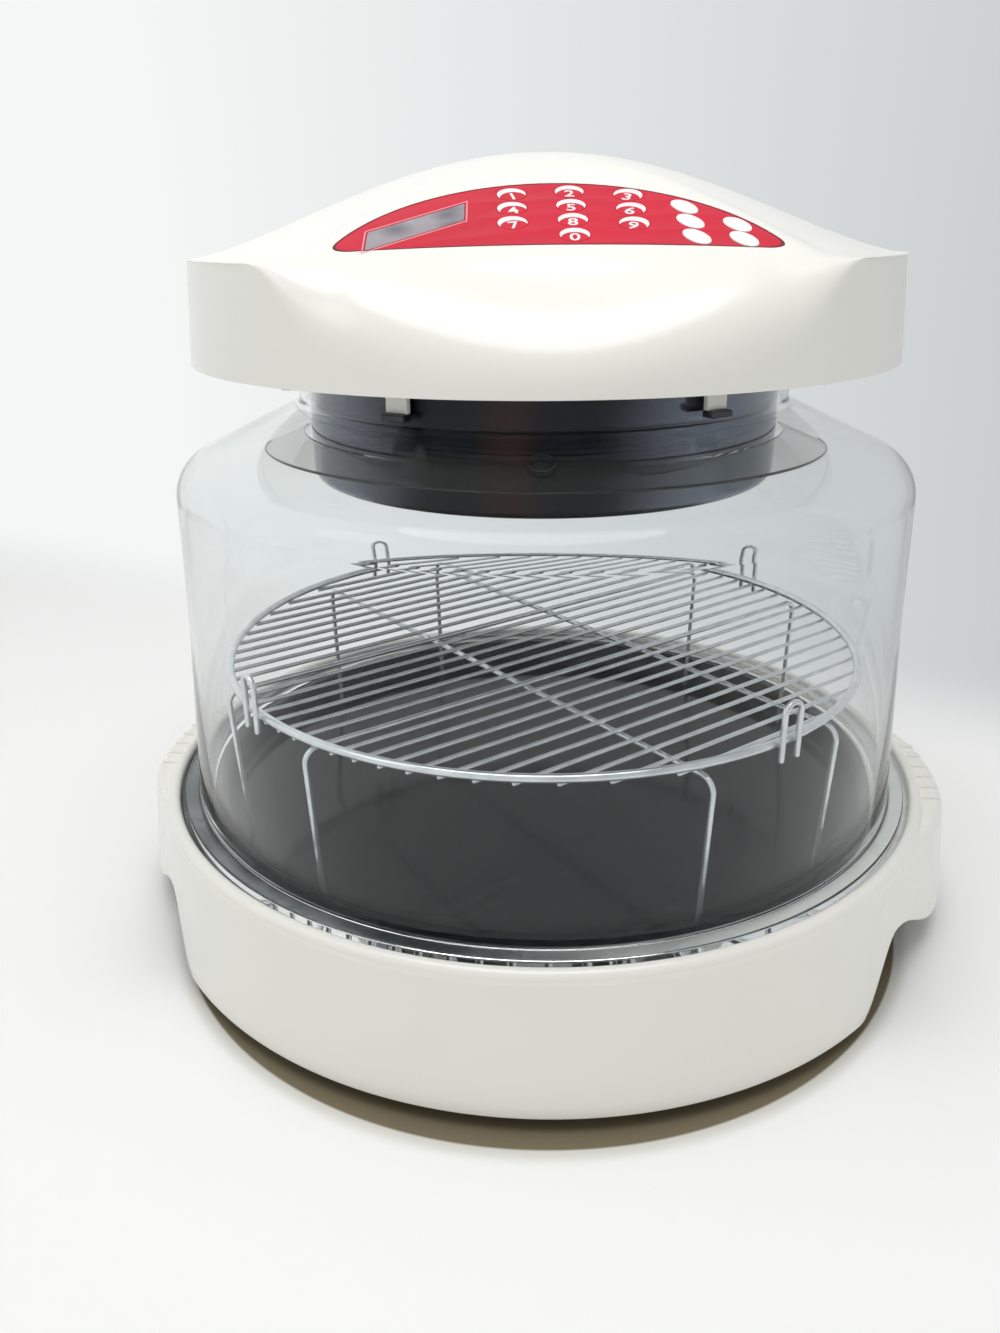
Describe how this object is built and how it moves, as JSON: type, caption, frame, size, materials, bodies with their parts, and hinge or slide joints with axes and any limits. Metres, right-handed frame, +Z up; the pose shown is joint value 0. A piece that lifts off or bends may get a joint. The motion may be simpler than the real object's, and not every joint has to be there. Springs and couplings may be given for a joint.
{
  "type": "halogen oven",
  "caption": "Countertop convection oven with a round tray base, clear dome, wire rack and a lift-off power head with a ring lamp, fans and a tilted keypad.",
  "frame": {"origin": "on the table, under the middle of the oven", "axes": "+X to the oven's right handle, +Y to the back, +Z up"},
  "size_m": [0.3908, 0.3716, 0.335],
  "materials": {
    "cream_shell": "gloss",
    "clear_dome": "clear, polished",
    "black_liner": "gloss non-stick coating",
    "chrome_wire": "bright plating",
    "dark_skirt": "dark mirror",
    "bright_sheet": "satin",
    "red_film": "satin printed film",
    "white_key": "gloss",
    "smoked_window": "gloss",
    "black_rubber": "matte",
    "quartz_tube": "frosted",
    "ceramic": "matte, ceramic",
    "circuit_board": "matte",
    "motor_steel": "satin"
  },
  "bodies": {
    "base": {"base_tray": "cream_shell", "base_foot_1": "black_rubber", "base_foot_2": "black_rubber", "base_foot_3": "black_rubber", "base_foot_4": "black_rubber"},
    "pan": {"liner_pan": "black_liner"},
    "rack": {"rack_grate": "chrome_wire", "rack_leg_wire_1": "chrome_wire", "rack_leg_wire_2": "chrome_wire", "rack_leg_wire_3": "chrome_wire", "rack_leg_wire_4": "chrome_wire", "rack_loop_1": "chrome_wire", "rack_loop_2": "chrome_wire", "rack_loop_3": "chrome_wire", "rack_loop_4": "chrome_wire"},
    "dome": {"dome": "clear_dome"},
    "head": {"head_cover": "cream_shell", "head_bottom_plate": "cream_shell", "panel_film": "red_film", "panel_membrane": "circuit_board", "display_window": "smoked_window", "heater_skirt": "dark_skirt", "lamp_guard": "bright_sheet", "reflector": "bright_sheet", "ring_lamp": "quartz_tube", "lamp_end_1": "ceramic", "lamp_end_2": "ceramic", "lamp_clip_1": "bright_sheet", "lamp_clip_2": "bright_sheet", "heat_sensor": "dark_skirt", "motor_deck": "bright_sheet", "motor_bracket": "bright_sheet", "fan_motor": "motor_steel", "control_board": "circuit_board", "display_module": "smoked_window", "cord_bushing": "black_rubber", "head_screw_1": "bright_sheet", "head_screw_2": "bright_sheet", "head_screw_3": "bright_sheet", "head_screw_4": "bright_sheet"},
    "fan": {"fan_shaft": "motor_steel", "oven_fan": "bright_sheet", "cooling_fan": "black_rubber"},
    "key_number_0": {"key_number_0": "red_film"},
    "key_number_1": {"key_number_1": "red_film"},
    "key_number_2": {"key_number_2": "red_film"},
    "key_number_3": {"key_number_3": "red_film"},
    "key_number_4": {"key_number_4": "red_film"},
    "key_number_5": {"key_number_5": "red_film"},
    "key_number_6": {"key_number_6": "red_film"},
    "key_number_7": {"key_number_7": "red_film"},
    "key_number_8": {"key_number_8": "red_film"},
    "key_number_9": {"key_number_9": "red_film"},
    "key_oval_1": {"key_oval_1": "white_key"},
    "key_oval_2": {"key_oval_2": "white_key"},
    "key_oval_3": {"key_oval_3": "white_key"},
    "key_oval_4": {"key_oval_4": "white_key"},
    "key_oval_5": {"key_oval_5": "white_key"}
  },
  "joints": [
    {"name": "pan_lift", "type": "slide", "parent": "base", "child": "pan", "axis": [0, 0, 1], "range_m": [0, 0.02]},
    {"name": "rack_lift", "type": "slide", "parent": "pan", "child": "rack", "axis": [0, 0, 1], "range_m": [0, 0.03]},
    {"name": "dome_lift", "type": "slide", "parent": "base", "child": "dome", "axis": [0, 0, 1], "range_m": [0, 0.15]},
    {"name": "head_lift", "type": "slide", "parent": "dome", "child": "head", "axis": [0, 0, 1], "range_m": [0, 0.08]},
    {"name": "fan_spin", "type": "hinge", "parent": "head", "child": "fan", "pos_m": [0, 0, 0.25], "axis": [0, 0, 1], "continuous": true},
    {"name": "press_number_0", "type": "slide", "parent": "head", "child": "key_number_0", "axis": [-0.0497, 0.3989, -0.9157], "range_m": [0, 0.0005], "stiffness_N_per_m": 200, "springref_m": -0.0005},
    {"name": "press_number_1", "type": "slide", "parent": "head", "child": "key_number_1", "axis": [-0.0497, 0.3989, -0.9157], "range_m": [0, 0.0005], "stiffness_N_per_m": 200, "springref_m": -0.0005},
    {"name": "press_number_2", "type": "slide", "parent": "head", "child": "key_number_2", "axis": [-0.0497, 0.3989, -0.9157], "range_m": [0, 0.0005], "stiffness_N_per_m": 200, "springref_m": -0.0005},
    {"name": "press_number_3", "type": "slide", "parent": "head", "child": "key_number_3", "axis": [-0.0497, 0.3989, -0.9157], "range_m": [0, 0.0005], "stiffness_N_per_m": 200, "springref_m": -0.0005},
    {"name": "press_number_4", "type": "slide", "parent": "head", "child": "key_number_4", "axis": [-0.0497, 0.3989, -0.9157], "range_m": [0, 0.0005], "stiffness_N_per_m": 200, "springref_m": -0.0005},
    {"name": "press_number_5", "type": "slide", "parent": "head", "child": "key_number_5", "axis": [-0.0497, 0.3989, -0.9157], "range_m": [0, 0.0005], "stiffness_N_per_m": 200, "springref_m": -0.0005},
    {"name": "press_number_6", "type": "slide", "parent": "head", "child": "key_number_6", "axis": [-0.0497, 0.3989, -0.9157], "range_m": [0, 0.0005], "stiffness_N_per_m": 200, "springref_m": -0.0005},
    {"name": "press_number_7", "type": "slide", "parent": "head", "child": "key_number_7", "axis": [-0.0497, 0.3989, -0.9157], "range_m": [0, 0.0005], "stiffness_N_per_m": 200, "springref_m": -0.0005},
    {"name": "press_number_8", "type": "slide", "parent": "head", "child": "key_number_8", "axis": [-0.0497, 0.3989, -0.9157], "range_m": [0, 0.0005], "stiffness_N_per_m": 200, "springref_m": -0.0005},
    {"name": "press_number_9", "type": "slide", "parent": "head", "child": "key_number_9", "axis": [-0.0497, 0.3989, -0.9157], "range_m": [0, 0.0005], "stiffness_N_per_m": 200, "springref_m": -0.0005},
    {"name": "press_oval_1", "type": "slide", "parent": "head", "child": "key_oval_1", "axis": [-0.0497, 0.3989, -0.9157], "range_m": [0, 0.0005], "stiffness_N_per_m": 200, "springref_m": -0.0005},
    {"name": "press_oval_2", "type": "slide", "parent": "head", "child": "key_oval_2", "axis": [-0.0497, 0.3989, -0.9157], "range_m": [0, 0.0005], "stiffness_N_per_m": 200, "springref_m": -0.0005},
    {"name": "press_oval_3", "type": "slide", "parent": "head", "child": "key_oval_3", "axis": [-0.0497, 0.3989, -0.9157], "range_m": [0, 0.0005], "stiffness_N_per_m": 200, "springref_m": -0.0005},
    {"name": "press_oval_4", "type": "slide", "parent": "head", "child": "key_oval_4", "axis": [-0.0497, 0.3989, -0.9157], "range_m": [0, 0.0005], "stiffness_N_per_m": 200, "springref_m": -0.0005},
    {"name": "press_oval_5", "type": "slide", "parent": "head", "child": "key_oval_5", "axis": [-0.0497, 0.3989, -0.9157], "range_m": [0, 0.0005], "stiffness_N_per_m": 200, "springref_m": -0.0005}
  ]
}
